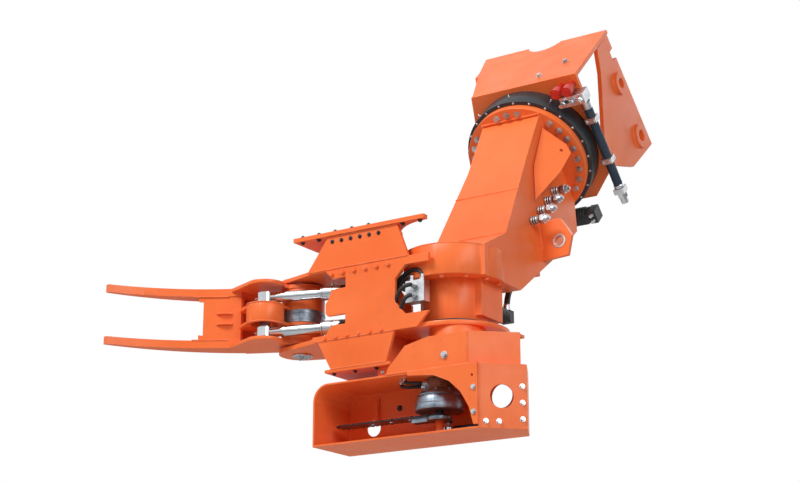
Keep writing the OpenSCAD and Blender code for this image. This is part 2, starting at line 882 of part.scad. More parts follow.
module saw_box() {
    color(paint) at_pin() {
        difference() {
            intersection() {
                translate([0, 0, saw_low]) linear_extrude(saw_box_h) box_plan();
                translate([0, saw_back, 0]) rotate([90, 0, 0]) linear_extrude(saw_box_depth)
                    box_face(0);
            }
            intersection() {
                translate([0, 0, saw_low]) linear_extrude(saw_box_h) {
                    polygon([
                        [saw_left - 1, saw_front - 1], [saw_right, saw_front - 1],
                        [saw_right, saw_front + saw_wall_t * 0.4],
                        [saw_right + end_run - saw_wall_t, saw_front + end_run + saw_wall_t * 0.4],
                        [saw_right + end_run - back_cut - saw_wall_t, saw_back - saw_wall_t],
                        [saw_left - 1, saw_back - saw_wall_t]
                    ]);
                }
                translate([0, saw_back, 0]) rotate([90, 0, 0]) linear_extrude(saw_box_depth + 1)
                    box_face(saw_wall_t);
            }
            translate([saw_left + 158, saw_back + 1, saw_low + 131]) rotate([90, 0, 0])
                cylinder(h = saw_wall_t + 2, r = 42);
            translate([saw_right - 55, saw_back + 1, saw_low + 216]) rotate([90, 0, 0])
                cylinder(h = saw_wall_t + 2, r = 60);
            translate([saw_right + 83, saw_front + 83, saw_low + 158]) rotate([90, 0, 45])
                translate([0, 0, -saw_wall_t - 4]) cylinder(h = 2 * saw_wall_t + 8, r = 58);
        }
        bar(saw_x, saw_y, saw_low + saw_wall_t - 1, arm_low - saw_low - saw_wall_t + 17,
            saw_shaft_d / 2);
        bar(feed_x, feed_y, saw_low + saw_wall_t - 1, feed_z + 18 - saw_low - saw_wall_t, 10);
    }
}

module saw_cover() {
    cover_t = 10;
    color(paint) at_pin() difference() {
        union() {
            plate_xz([
                [-90, saw_top], [saw_right, saw_top], [saw_right, saw_low + 20],
                [285, saw_low + 20], [262, saw_low + 105], [215, saw_low + 185],
                [150, saw_low + 245], [60, saw_low + 285], [-90, saw_low + 300]
            ], saw_front, cover_t);
        }
        translate([saw_right - 30, saw_front + 1, saw_top - 60]) rotate([90, 0, 0])
            cylinder(h = 14, r = 7);
    }
}

// The mount stands on the box: an arched front plate, a slanted end, a top and a round neck.
module saw_mount() {
    right = saw_right - 60;
    neck = [80, -110, 140];
    color(paint) at_pin() difference() {
        union() {
            plate_xz([
                [-224, saw_top], [-212, mount_top - 129], [-156, mount_top - 75],
                [-112, mount_top - 29], [20, mount_top], [right, mount_top], [right, saw_top]
            ], saw_front + 16, 16);
            translate([0, 0, saw_top]) linear_extrude(mount_top - saw_top) polygon([
                [right, saw_front], [right + end_run + 28, saw_front + end_run],
                [right + end_run + 6, saw_front + end_run], [right - 16, saw_front + 8],
                [right - 16, saw_front]
            ]);
            translate([0, 0, mount_top - 16]) linear_extrude(16) polygon([
                [20, saw_front + 8], [right, saw_front + 8],
                [right + end_run + 14, saw_front + end_run], [right + end_run + 14, -60],
                [20, -60]
            ]);
            bar(neck[0], neck[1], saw_top, plate_low - saw_top, neck[2]);
        }
        bar(neck[0], neck[1], saw_top - 1, plate_low - saw_top + 2, neck[2] - 16);
    }
}

module saw_tank() {
    color(paint) at_pin() translate([-300, -260, saw_top])
        cube([180, 180, plate_low - lower_bracket_h - saw_top]);
}

module saw_motor() {
    motor_h = saw_top - saw_wall_t - bar_z - 20;
    color(grey_steel) at_pin() translate([saw_x, saw_y, bar_z + 20]) difference() {
        rotate_extrude() polygon([
            [0, 0], [motor_r, 0], [motor_r, 24], [motor_r - 6, 58], [motor_r - 24, 92],
            [motor_r - 47, 112], [58, motor_h], [0, motor_h]
        ]);
        translate([0, 0, -1]) cylinder(h = 84, r = saw_shaft_d / 2 + run_fit);
    }
}

module saw_bolts() {
    color(chrome) at_pin() {
        for (z = [80, 200]) {
            translate([saw_right - 22, saw_front - 10, saw_low + z]) rotate([90, 0, 0])
                bolt_head(18);
        }
        for (p = [[35, 35], [100, 35], [end_run * 1.41 - 24, 50], [end_run * 1.41 - 24, 130],
            [end_run * 1.41 - 24, 210]]) {
            translate([saw_right, saw_front, saw_low]) rotate([0, 0, 45])
                translate([p[0], 0, p[1]]) rotate([90, 0, 0]) bolt_head(18);
        }
        translate([120, saw_front, saw_top + 60]) rotate([90, 0, 0]) bolt_head(24);
    }
}

// Saw arm, bar and chain, parked along the box

module bar_outline(grow) {
    hull_len = bar_len - bar_w / 2;
    translate([-hull_len, -bar_w / 2 - grow]) square([hull_len, bar_w + 2 * grow]);
    translate([-hull_len, 0]) circle(r = bar_w / 2 + grow);
    circle(r = bar_w / 2 + grow);
}

// The arm clamps the bar from below and carries the crank pin of the feed cylinder.
module saw_arm() {
    color(grey_steel) at_pin() translate([saw_x, saw_y, 0]) {
        difference() {
            union() {
                bar(0, 0, arm_low, arm_t, bar_w / 2 - 2);
                bar(0, 0, arm_low, arm_step_t, 62);
                rotate([0, 0, crank_angle]) translate([0, -19, arm_low])
                    cube([crank_arm, 38, arm_step_t]);
                bar(crank_x - saw_x, crank_y - saw_y, arm_low, arm_step_t, 24);
                translate([-150, -25, arm_low]) cube([150, 50, arm_t]);
            }
            bar(0, 0, arm_low - 1, arm_t + 2, saw_shaft_d / 2 + run_fit);
        }
        bar(crank_x - saw_x, crank_y - saw_y, feed_z - 20, arm_low - feed_z + 21, crank_pin_r);
    }
}

module guide_bar() {
    color(grey_steel) at_pin() translate([saw_x, saw_y, bar_z - bar_t / 2])
        linear_extrude(bar_t) difference() {
            bar_outline(0);
            translate([-bar_tail, -bar_w]) square([bar_w + bar_tail, 2 * bar_w]);
            for (x = [-180:-110:-bar_len + 100]) {
                translate([x, 0]) circle(r = 12);
            }
        }
}

module saw_chain() {
    color(dark_steel) at_pin() translate([saw_x, saw_y, bar_z - 4]) linear_extrude(8)
        difference() {
            bar_outline(11);
            bar_outline(0);
        }
}

module drive_sprocket() {
    root_r = saw_shaft_d / 2 + 0.8;
    corners = [[6, tooth_r], [18, root_r], [360 / 7 - 18, root_r], [360 / 7 - 6, tooth_r]];
    color(dark_steel) at_pin() translate([saw_x, saw_y, bar_z - bar_t / 2 + face_gap]) {
        linear_extrude(6) polygon([
            for (i = [0:6], c = corners) c[1] * [cos(c[0] + 360 * i / 7), sin(c[0] + 360 * i / 7)]
        ]);
        translate([0, 0, 6]) cylinder(h = 86, r = saw_shaft_d / 2);
    }
}

module feed_barrel() {
    color(dark_steel) at_pin() translate([feed_x, feed_y, feed_z]) rotate([0, 0, feed_dir])
        difference() {
            union() {
                translate([0, 0, -16]) cylinder(h = 32, r = 20);
                translate([12, 0, 0]) rotate([0, 90, 0])
                    cylinder(h = feed_run - feed_eye_r - 5 - 12, r = 20);
            }
            translate([0, 0, -30]) cylinder(h = 60, r = 10 + run_fit);
            translate([22, 0, 0]) rotate([0, 90, 0]) cylinder(h = 150, r = 10 + run_fit);
        }
}

module feed_rod() {
    color(chrome) at_pin() translate([feed_x, feed_y, feed_z]) rotate([0, 0, feed_dir])
        difference() {
            union() {
                translate([24, 0, 0]) rotate([0, 90, 0]) cylinder(h = feed_run - 24, r = 10);
                translate([feed_run, 0, -12]) cylinder(h = 24, r = feed_eye_r);
            }
            translate([feed_run, 0, -30]) cylinder(h = 60, r = crank_pin_r + crank_play);
        }
}

adapter_base();
adapter_cheeks();
adapter_ribs();
adapter_roof();
wrist_housing();
wrist_motor();
bulkhead_block();
couplings();
adapter_hose();
hose_clamps();
adapter_bolts();
wrist_flange();
wrist_bolts();
elbow_box();
elbow_guard();
fitting_row();
lifting_lug();
rotator_drum();
rotator_motor();
elbow_hose();
drum_bolts();
rotator_hub();
lower_plate();
front_plate();
back_plate();
upper_plate();
upper_bracket();
lower_bracket();
claw_pin();
claw_pin_caps();
cylinder_pin();
valve_block();
frame_hose();
frame_bolts();
claw_upper();
claw_lower();
claw_web();
claw_hub();
claw_washers();
lug_tube();
barrel_upper();
barrel_lower();
rod_upper();
rod_lower();
rod_pin();
saw_box();
saw_cover();
saw_mount();
saw_tank();
saw_motor();
saw_bolts();
saw_arm();
guide_bar();
saw_chain();
drive_sprocket();
feed_barrel();
feed_rod();
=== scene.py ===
import json
import math

import bmesh
import bpy
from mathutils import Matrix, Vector


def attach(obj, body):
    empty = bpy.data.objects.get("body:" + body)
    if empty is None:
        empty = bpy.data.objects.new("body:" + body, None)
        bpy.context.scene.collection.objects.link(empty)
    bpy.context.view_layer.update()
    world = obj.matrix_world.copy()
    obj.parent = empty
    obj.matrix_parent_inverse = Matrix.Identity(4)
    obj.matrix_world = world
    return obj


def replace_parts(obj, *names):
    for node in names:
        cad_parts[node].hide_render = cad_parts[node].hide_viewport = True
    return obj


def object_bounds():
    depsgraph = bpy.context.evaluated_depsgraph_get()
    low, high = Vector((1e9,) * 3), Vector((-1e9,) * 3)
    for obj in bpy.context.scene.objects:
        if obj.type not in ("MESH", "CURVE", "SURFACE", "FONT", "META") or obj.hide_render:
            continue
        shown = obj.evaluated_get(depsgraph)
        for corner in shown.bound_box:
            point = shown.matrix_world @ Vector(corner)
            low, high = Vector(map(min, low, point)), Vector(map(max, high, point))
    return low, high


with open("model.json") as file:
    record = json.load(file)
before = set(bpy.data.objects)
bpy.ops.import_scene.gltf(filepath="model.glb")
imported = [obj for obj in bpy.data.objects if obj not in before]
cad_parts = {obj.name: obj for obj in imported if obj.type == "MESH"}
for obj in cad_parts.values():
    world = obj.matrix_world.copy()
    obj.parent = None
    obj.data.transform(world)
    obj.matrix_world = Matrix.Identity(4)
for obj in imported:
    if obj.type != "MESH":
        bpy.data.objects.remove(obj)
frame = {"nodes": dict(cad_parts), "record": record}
cad_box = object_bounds()
nodes = frame["nodes"]
scene = bpy.context.scene

# The wrist centre, where the wrist axis and the rotator axis cross
WRIST = Vector((0.0, -1.428709, -1.075156))
# The photograph looks up at the part from its front right, 2.4 m below the wrist centre.
CAMERA = WRIST + Vector((4.390, -7.186, -2.4205))


# Materials

def node_tree(name):
    mat = bpy.data.materials.new(name)
    mat.use_nodes = True
    tree = mat.node_tree
    shader = tree.nodes["Principled BSDF"]
    return mat, tree, shader


def add(tree, kind, **values):
    node = tree.nodes.new(kind)
    for key, value in values.items():
        if key in node.inputs:
            node.inputs[key].default_value = value
        else:
            setattr(node, key, value)
    return node


def object_coords(tree):
    return add(tree, "ShaderNodeTexCoord").outputs["Object"]


def noise(tree, coords, scale, detail=4.0, roughness=0.55):
    node = add(tree, "ShaderNodeTexNoise", Scale=scale, Detail=detail, Roughness=roughness)
    tree.links.new(coords, node.inputs["Vector"])
    return node.outputs["Fac"]


def ramp(tree, value, low, high, dark=0.0, light=1.0):
    node = add(tree, "ShaderNodeMapRange")
    node.inputs["From Min"].default_value = low
    node.inputs["From Max"].default_value = high
    node.inputs["To Min"].default_value = dark
    node.inputs["To Max"].default_value = light
    tree.links.new(value, node.inputs["Value"])
    return node.outputs["Result"]


def mix(tree, factor, first, second):
    node = tree.nodes.new("ShaderNodeMix")
    node.data_type = "RGBA"
    tree.links.new(factor, node.inputs[0])
    for socket, value in ((node.inputs[6], first), (node.inputs[7], second)):
        if isinstance(value, tuple):
            socket.default_value = value
        else:
            tree.links.new(value, socket)
    return node.outputs[2]


def bump(tree, shader, height, strength, distance):
    node = add(tree, "ShaderNodeBump", Strength=strength, Distance=distance)
    tree.links.new(height, node.inputs["Height"])
    tree.links.new(node.outputs["Normal"], shader.inputs["Normal"])


def srgb(code):
    out = []
    for i in (0, 2, 4):
        c = int(code[i:i + 2], 16) / 255
        out.append(c / 12.92 if c <= 0.04045 else ((c + 0.055) / 1.055) ** 2.4)
    return (*out, 1.0)


def edges(tree, radius, low=0.90, high=0.985):
    """1 along the edges and corners of a plate, 0 on its flat faces."""
    round_off = add(tree, "ShaderNodeBevel", samples=4, Radius=radius)
    flat = tree.nodes.new("ShaderNodeNewGeometry")
    dot = add(tree, "ShaderNodeVectorMath", operation="DOT_PRODUCT")
    tree.links.new(round_off.outputs["Normal"], dot.inputs[0])
    tree.links.new(flat.outputs["Normal"], dot.inputs[1])
    return ramp(tree, dot.outputs["Value"], low, high, 1.0, 0.0)


def times(tree, first, second):
    node = add(tree, "ShaderNodeMath", operation="MULTIPLY")
    for socket, value in zip(node.inputs, (first, second)):
        if isinstance(value, (int, float)):
            socket.default_value = value
        else:
            tree.links.new(value, socket)
    return node.outputs["Value"]


def paint(name, base, deep, scuff, rough=(0.30, 0.46), coat=0.06, wear_and_highlight=None):
    """Sprayed machine paint: slow colour drift, fine orange peel, dust and small scuffs; the
    optional lighter colour on patches of the edges is partly wear and partly painted highlight.
    """
    mat, tree, shader = node_tree(name)
    coords = object_coords(tree)
    drift = ramp(tree, noise(tree, coords, 1.7, 3.0), 0.38, 0.66)
    colour = mix(tree, drift, srgb(base), srgb(deep))
    dust = ramp(tree, noise(tree, coords, 6.0, 7.0, 0.7), 0.52, 0.74, 0.0, 0.22)
    colour = mix(tree, dust, colour, srgb(scuff))
    marks = ramp(tree, noise(tree, coords, 34.0, 8.0, 0.72), 0.665, 0.70)
    colour = mix(tree, marks, colour, srgb(scuff))
    # Lighter colour on patches along edges and corners: partly paint wear, partly painted
    # highlight along the edges
    if wear_and_highlight:
        patches = ramp(tree, noise(tree, coords, 14.0, 6.0), 0.42, 0.62)
        wear_and_highlight_mask = times(tree, edges(tree, 0.004), patches)
        colour = mix(tree, times(tree, wear_and_highlight_mask, 0.75), colour, srgb(wear_and_highlight))
    tree.links.new(colour, shader.inputs["Base Color"])
    gloss = ramp(tree, noise(tree, coords, 9.0, 5.0), 0.3, 0.7, rough[0], rough[1])
    tree.links.new(gloss, shader.inputs["Roughness"])
    shader.inputs["Specular IOR Level"].default_value = 0.3
    shader.inputs["Coat Weight"].default_value = coat
    shader.inputs["Coat Roughness"].default_value = 0.22
    bump(tree, shader, noise(tree, coords, 420.0, 2.0), 0.10, 0.0006)
    return mat


def metal(name, base, dark, rough=(0.22, 0.42), metallic=1.0, grain=160.0, scale=12.0):
    mat, tree, shader = node_tree(name)
    coords = object_coords(tree)
    stains = ramp(tree, noise(tree, coords, scale, 7.0, 0.65), 0.42, 0.68)
    tree.links.new(mix(tree, stains, srgb(base), srgb(dark)), shader.inputs["Base Color"])
    gloss = ramp(tree, noise(tree, coords, 28.0, 5.0), 0.3, 0.7, rough[0], rough[1])
    tree.links.new(gloss, shader.inputs["Roughness"])
    shader.inputs["Metallic"].default_value = metallic
    bump(tree, shader, noise(tree, coords, grain, 3.0), 0.12, 0.0004)
    return mat


def rubber(name, base, dust):
    mat, tree, shader = node_tree(name)
    coords = object_coords(tree)
    film = ramp(tree, noise(tree, coords, 18.0, 6.0), 0.45, 0.7, 0.0, 0.5)
    tree.links.new(mix(tree, film, srgb(base), srgb(dust)), shader.inputs["Base Color"])
    gloss = ramp(tree, noise(tree, coords, 40.0, 4.0), 0.3, 0.7, 0.48, 0.68)
    tree.links.new(gloss, shader.inputs["Roughness"])
    bump(tree, shader, noise(tree, coords, 700.0, 2.0), 0.25, 0.0005)
    return mat


# The lighter edge colour FFAE86 is partly paint wear and partly painted highlight along the edges
ORANGE = paint("orange_paint", "FC7A3E", "F56E30", "C9572A", wear_and_highlight="FFAE86")
DARK = paint("dark_paint", "34373B", "26282B", "5A5148", (0.38, 0.55), 0.15)
ZINC = metal("zinc_steel", "D5D8DB", "A9ADB2", (0.24, 0.42))
CHROME = metal("chrome", "CDD2D6", "B4BABF", (0.08, 0.16), grain=500.0, scale=5.0)
STEEL = metal("bare_steel", "9AA6B2", "66727E", (0.28, 0.5))
CHAIN = metal("chain_steel", "4A4A4C", "242426", (0.35, 0.55), scale=60.0)
HOSE = rubber("black_hose", "141517", "3A3732")
BLUE = rubber("blue_hose", "1F3347", "4A4A46")
RED = paint("red_coupling", "D8342A", "B8281F", "8A3A30", (0.28, 0.4), 0.3)
SEAL = rubber("black_seal", "0E0F10", "2A2825")
BLUED = metal("blued_steel", "98A4B0", "59636E", (0.3, 0.5), 0.7, scale=20.0)

BY_SLOT = {
    "orange_paint": ORANGE, "dark_paint": DARK, "zinc_steel": ZINC, "chrome": CHROME,
    "bare_steel": STEEL, "chain_steel": CHAIN, "black_hose": HOSE, "blue_hose": BLUE,
    "red_coupling": RED,
}


def dress_nodes():
    slot_of = {row["node"]: row["material_slot"] for row in frame["record"]["subparts"]}
    for name, obj in nodes.items():
        mat = BY_SLOT[slot_of[name]]
        for place in obj.material_slots:
            place.material = mat


WELD_REACH = 0.00005
FLAT_ANGLE = math.radians(0.4)
EDGE_ANGLE = math.radians(38)
EDGE_ROUND = 0.0022
# Small parts, ground shafts and hoses keep the edges they have
SHARP_NODES = {
    "frame_bolts", "wrist_bolts", "saw_bolts", "drum_bolts", "adapter_bolts", "couplings",
    "saw_chain", "guide_bar", "drive_sprocket", "adapter_hose", "elbow_hose", "frame_hose",
    "rod_upper", "rod_lower", "rod_pin", "feed_rod", "claw_pin", "cylinder_pin",
}


def soften_edges():
    """Plates are dressed before painting, so their nodes get a small round on each edge."""
    for name, obj in nodes.items():
        if name in SHARP_NODES:
            continue
        weld = obj.modifiers.new("join_edges", "WELD")
        weld.merge_threshold = WELD_REACH
        planes = obj.modifiers.new("join_facets", "DECIMATE")
        planes.decimate_type = "DISSOLVE"
        planes.angle_limit = FLAT_ANGLE
        bevel = obj.modifiers.new("edge_round", "BEVEL")
        bevel.harden_normals = True
        bevel.width = EDGE_ROUND
        bevel.segments = 2
        bevel.limit_method = "ANGLE"
        bevel.angle_limit = EDGE_ANGLE
        bevel.use_clamp_overlap = True


dress_nodes()
soften_edges()


# Places: millimetres from the wrist centre, or along the tilted wrist axis

def at(x, y, z):
    return WRIST + Vector((x, y, z)) / 1000


def along(x, y, length):
    c = math.sqrt(0.5)
    return WRIST + Vector((x, (y + length) * c, (length - y) * c)) / 1000


CLAW_PIN = (-890.0, -100.0)


def on_claw(x, y, z):
    """Millimetres from the claw pin, at a height from the wrist centre."""
    return at(CLAW_PIN[0] + x, CLAW_PIN[1] + y, z)


UP = Vector((0, 0, 1))
OUT = (along(0, 0, 1) - along(0, 0, 0)).normalized()
DOWN_SLOPE = (along(0, 1, 0) - along(0, 0, 0)).normalized()
SIDE = Vector((1, 0, 0))
FRONT = Vector((0, -1, 0))


# Mesh building

def cross_frame(direction):
    axis = direction.normalized()
    other = UP if abs(axis.z) < 0.9 else SIDE
    first = axis.cross(other).normalized()
    return axis, first, axis.cross(first)


class Shape:
    def __init__(self):
        self.verts = []
        self.faces = []

    def put(self, verts, faces):
        start = len(self.verts)
        self.verts += verts
        self.faces += [tuple(start + i for i in face) for face in faces]

    def rings(self, rings, closed=False):
        """Skin rings of equal length, with end caps unless the run is closed."""
        count = len(rings[0])
        verts = [v for ring in rings for v in ring]
        faces = []
        last = len(rings) if closed else len(rings) - 1
        for i in range(last):
            j = (i + 1) % len(rings)
            for k in range(count):
                n = (k + 1) % count
                faces.append((i * count + k, i * count + n, j * count + n, j * count + k))
        if not closed:
            faces.append(tuple(range(count))[::-1])
            faces.append(tuple((len(rings) - 1) * count + k for k in range(count)))
        self.put(verts, faces)

    def turned(self, place, direction, profile, sides=24, turn=0.0):
        """Profile points are radius and height in millimetres along the direction."""
        axis, first, second = cross_frame(direction)
        rings = []
        for radius, height in profile:
            ring = []
            for k in range(sides):
                angle = turn + 2 * math.pi * k / sides
                spoke = math.cos(angle) * first + math.sin(angle) * second
                ring.append(place + (axis * height + spoke * max(radius, 0.05)) / 1000)
            rings.append(ring)
        self.rings(rings)

    def collar(self, place, direction, inner, outer, height, sides=32, edge=1.5):
        """A ring with a square section and broken edges."""
        axis, first, second = cross_frame(direction)
        section = [(inner, 0), (outer - edge, 0), (outer, edge), (outer, height - edge),
                   (outer - edge, height), (inner, height)]
        rings = []
        for k in range(sides):
            angle = 2 * math.pi * k / sides
            spoke = math.cos(angle) * first + math.sin(angle) * second
            rings.append([place + (axis * h + spoke * r) / 1000 for r, h in section])
        self.rings(rings, closed=True)

    def tube(self, path, radius, sides=10, closed=False, swell=None):
        """A round run through the path; swell changes the radius from point to point."""
        count = len(path)
        rings = []
        guide = None
        for i, point in enumerate(path):
            before = path[(i - 1) % count] if closed or i else path[i]
            after = path[(i + 1) % count] if closed or i < count - 1 else path[i]
            axis = (after - before).normalized()
            if guide is None:
                guide = cross_frame(axis)[1]
            guide = (guide - axis * guide.dot(axis)).normalized()
            other = axis.cross(guide)
            size = radius * (swell(i) if swell else 1.0) / 1000
            rings.append([point + size * (math.cos(2 * math.pi * k / sides) * guide
                                          + math.sin(2 * math.pi * k / sides) * other)
                          for k in range(sides)])
        self.rings(rings, closed)

    def slab(self, corners, normal, thick, edge=1.5):
        """A flat plate on its outline, with broken edges on the outer face."""
        middle = sum(corners, Vector()) / len(corners)
        lift = normal.normalized() * thick / 1000
        inset = [p + (middle - p).normalized() * edge * 1.4 / 1000 for p in corners]
        low = list(corners)
        mid = [p + lift * (1 - edge / thick) for p in corners]
        top = [p + lift for p in inset]
        self.rings([low, mid, top])

    def bolt(self, place, normal, size, sides=6):
        """A flange washer, a chamfered hexagon head and the stub of the thread."""
        self.turned(place, normal, [(size * 0.78, 0), (size * 0.78, size * 0.10),
                                    (size * 0.70, size * 0.14)], 20)
        self.turned(place, normal, [(size * 0.56, size * 0.13), (size * 0.56, size * 0.50),
                                    (size * 0.48, size * 0.58)], sides)
        self.turned(place, normal, [(size * 0.28, size * 0.55), (size * 0.28, size * 0.68),
                                    (size * 0.22, size * 0.74)], 12)

    def bead(self, path, radius, closed=False):
        """A hand-laid weld: a low tube with the ripples of the runs."""
        fine = spread(path, 7.0, closed)
        self.tube(fine, radius, 6, closed,
                  lambda i: 1.0 + 0.16 * math.sin(i * 2.1) + 0.07 * math.sin(i * 0.37))

    def nipple(self, place, normal):
        self.turned(place, normal, [(6, 0), (6, 6), (3.4, 7), (3.4, 11), (4.6, 12), (4.6, 14),
                                    (2.4, 17)], 12)


def spread(path, step, closed=False):
    """The same path with a point about every step millimetres."""
    points = list(path) + ([path[0]] if closed else [])
    out = []
    for a, b in zip(points, points[1:]):
        parts = max(1, round((b - a).length * 1000 / step))
        out += [a.lerp(b, i / parts) for i in range(parts)]
    return out if closed else out + [points[-1]]


def smooth_path(points, rounds=3):
    """Corner cutting that keeps both ends."""
    path = list(points)
    for _ in range(rounds):
        cut = [path[0]]
        for a, b in zip(path, path[1:]):
            cut += [a.lerp(b, 0.25), a.lerp(b, 0.75)]
        path = cut + [path[-1]]
    return path


def circle(place, normal, radius, count=48, start=0.0, end=360.0):
    axis, first, second = cross_frame(normal)
    full = end - start >= 360
    last = count if full else count + 1
    return [place + radius / 1000 * (
        math.cos(math.radians(start + (end - start) * k / count)) * first
        + math.sin(math.radians(start + (end - start) * k / count)) * second)
        for k in range(last)]


SMOOTH_ANGLE = math.radians(33)


def piece(name, shape, material, body):
    """One visible object from a shape, riding on its body."""
    mesh = bpy.data.meshes.new(name)
    mesh.from_pydata(shape.verts, [], shape.faces)
    work = bmesh.new()
    work.from_mesh(mesh)
    bmesh.ops.recalc_face_normals(work, faces=work.faces)
    for face in work.faces:
        face.smooth = True
    for edge in work.edges:
        if len(edge.link_faces) == 2 and edge.calc_face_angle() > SMOOTH_ANGLE:
            edge.smooth = False
    work.to_mesh(mesh)
    work.free()
    mesh.materials.append(material)
    obj = bpy.data.objects.new(name, mesh)
    scene.collection.objects.link(obj)
    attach(obj, body)
    return obj


# Crane adapter and wrist

SLEW_FACE = 1165.5
SLEW_RADIUS = 372
CHEEK_X = 405
SLEW_MOTOR = (438, 1230.5)
ADAPTER_HOSE = (415, 1265)


def build_adapter():
    welds = Shape()
    for x in (-151, -129, 129, 151):
        welds.bead([along(x, -374, 1322), along(x, -374, 1650)], 4)
    for x, side in ((380, -1), (-380, 1)):
        welds.bead([along(x, -374, 1770 if side > 0 else 1680), along(x, -374, 1862)], 5)
    for side in (-1, 1):
        for y, radius in ((250, 70), (-100, 65)):
            welds.bead(circle(along(side * CHEEK_X, y, 1770.5), SIDE, radius + 2), 4, True)
    piece("adapter_welds", welds, ORANGE, "adapter")

    ring = Shape()
    for k in range(24):
        angle = math.radians(15 * k + 7.5)
        x, y = 361 * math.cos(angle), 361 * math.sin(angle)
        ring.turned(along(x, y, SLEW_FACE), -OUT,
                    [(7, 0), (7, 5), (5.5, 6.5), (3, 6.5), (3, 4)], 12)
    for angle in (-2.2, -1.57, -0.9, 2.4):
        x, y = SLEW_RADIUS * math.cos(angle), SLEW_RADIUS * math.sin(angle)
        spoke = (along(x, y, 0) - along(0, 0, 0)).normalized()
        ring.nipple(along(x, y, 1232), spoke)
    piece("slew_fasteners", ring, ZINC, "adapter")

    seal = Shape()
    seal.collar(along(0, 0, 1165.6), OUT, 344, 352, 6, 96, 1)
    piece("slew_seal", seal, SEAL, "adapter")

    motor = Shape()
    motor_y, motor_l = SLEW_MOTOR
    flange = along(58, motor_y, motor_l)
    for k in range(6):
        motor.collar(flange + SIDE * (0.030 + 0.016 * k), SIDE, 47, 53, 8, 32)
    for sy, sl in ((-1, -1), (-1, 1), (1, -1), (1, 1)):
        motor.turned(along(82, motor_y + 40 * sy, motor_l + 40 * sl), SIDE,
                     [(7, 0), (7, 8), (5.5, 9.5)], 12)
    piece("slew_motor_trim", motor, DARK, "adapter")

    unions = Shape()
    for dy in (-18, 18):
        start = along(225, motor_y + dy, 1195)
        unions.turned(start, -OUT, [(13, 0), (13, 16), (10, 18), (10, 30)], 6)
    for x, y in ((318, -279), (372, -279), (428, -279)):
        unions.turned(along(x, y, 1200.5), -OUT, [(15, 0), (15, 14), (12, 17)], 6)
        unions.turned(along(x, y, 1184), -OUT, [(10, 0), (10, 20), (11.5, 22), (11.5, 30)], 20)
    hose_x, hose_l = ADAPTER_HOSE
    unions.turned(along(hose_x, -250, hose_l), -DOWN_SLOPE,
                  [(29, -2), (29, 14), (24, 18), (20, 18)], 6)
    piece("block_unions", unions, ZINC, "adapter")

    hose = Shape()
    hose.tube(spread([along(hose_x, -248, hose_l), along(hose_x, 350, hose_l)], 12), 26, 24)
    pipe = piece("adapter_hose_skin", hose, BLUE, "adapter")
    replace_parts(pipe, "adapter_hose")
    ends = Shape()
    ends.turned(along(hose_x, -236, hose_l), DOWN_SLOPE,
                [(29, 0), (29, 40), (27, 43)], 28)
    ends.turned(along(hose_x, 300, hose_l), DOWN_SLOPE, [(27, -3), (29, 0), (29, 16)], 28)
    for y in (-124, 136):
        for x in (392, 438):
            ends.bolt(along(x, y, 1233), -OUT, 12)
    piece("hose_ferrules", ends, ZINC, "adapter")


build_adapter()


# Elbow arm and rotator

def fitting_places():
    """The four hose fittings climb the slanted right side of the elbow box."""
    places = []
    for i in range(4):
        z = 310 + 85 * i
        x = 225 - (z - 170) * 60 / 490
        places.append(at(x, 400 + 100 * i, z))
    return places


def build_elbow():
    welds = Shape()
    welds.bead([along(-171, -284, 1118), along(191, -284, 1118), along(191, 284, 1118),
                along(-171, 284, 1118)], 5, True)
    welds.bead([at(-173, 302, 470), at(214, 302, 470)], 3.2)
    welds.bead([at(-176, 99, 166), at(251, 99, 166)], 3.2)
    welds.bead([at(250, 494, 170), at(231, 494, 330)], 4.5)
    welds.bead([at(250, 521, 170), at(231, 521, 330)], 4.5)
    welds.bead(circle(at(0, 0, 52), UP, 260, 40, 100, 260), 4)
    piece("elbow_welds", welds, ORANGE, "elbow")

    trim = Shape()
    for place in fitting_places():
        for step in (34, 48, 62):
            trim.collar(place + SIDE * step / 1000, SIDE, 19, 23, 8, 28)
        trim.turned(place + SIDE * 0.130, SIDE, [(11, 0), (11, 9), (9, 11)], 6)
    trim.collar(at(350, 494.5, 205), FRONT, 28.5, 38, 3, 36, 1)
    piece("fitting_trim", trim, ZINC, "elbow")

    seals = Shape()
    for place in fitting_places():
        for step in (42.5, 56.5, 82):
            seals.collar(place + SIDE * step / 1000, SIDE, 19, 21.5, 5, 24, 1)
    piece("fitting_seals", seals, SEAL, "elbow")

    hose = Shape()
    route = [at(120, 598, 100), at(120, 582, 100), at(120, 540, 70), at(120, 470, 21),
             at(120, 410, -21), at(122, 365, -56), at(130, 330, -86), at(142, 296, -122),
             at(149, 275, -160), at(150, 270, -190), at(150, 270, -202)]
    hose.tube(smooth_path(route, 2), 16, 20)
    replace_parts(piece("elbow_hose_skin", hose, HOSE, "elbow"), "elbow_hose")
    ends = Shape()
    ends.turned(at(120, 599, 100), FRONT, [(20, 0), (20, 14)], 6)
    ends.turned(at(120, 592, 100), Vector((0, -42, -30)), [(18.5, 4), (18.5, 34), (16.5, 38)], 24)
    ends.turned(at(150, 270, -204), UP, [(20, 0), (20, 12)], 6)
    ends.turned(at(150, 270, -196), UP, [(18.5, 0), (18.5, 26), (16.5, 30)], 24)
    ends.nipple(at(-150, -214, -28), Vector((-150, -214, 0)))
    piece("elbow_hose_ferrules", ends, ZINC, "elbow")

    motor = Shape()
    for k in range(5):
        motor.collar(at(150, 170 + 15 * k, -234.5), -FRONT, 35, 41, 8, 32)
    motor.collar(at(0, 0, -330), UP, 174, 179, 10, 72)
    piece("rotator_trim", motor, DARK, "elbow")


build_elbow()


# Grapple frame

FACE_Y = -300
SEAM_Y = FACE_Y - 0.5
FLOOR_Z = -376


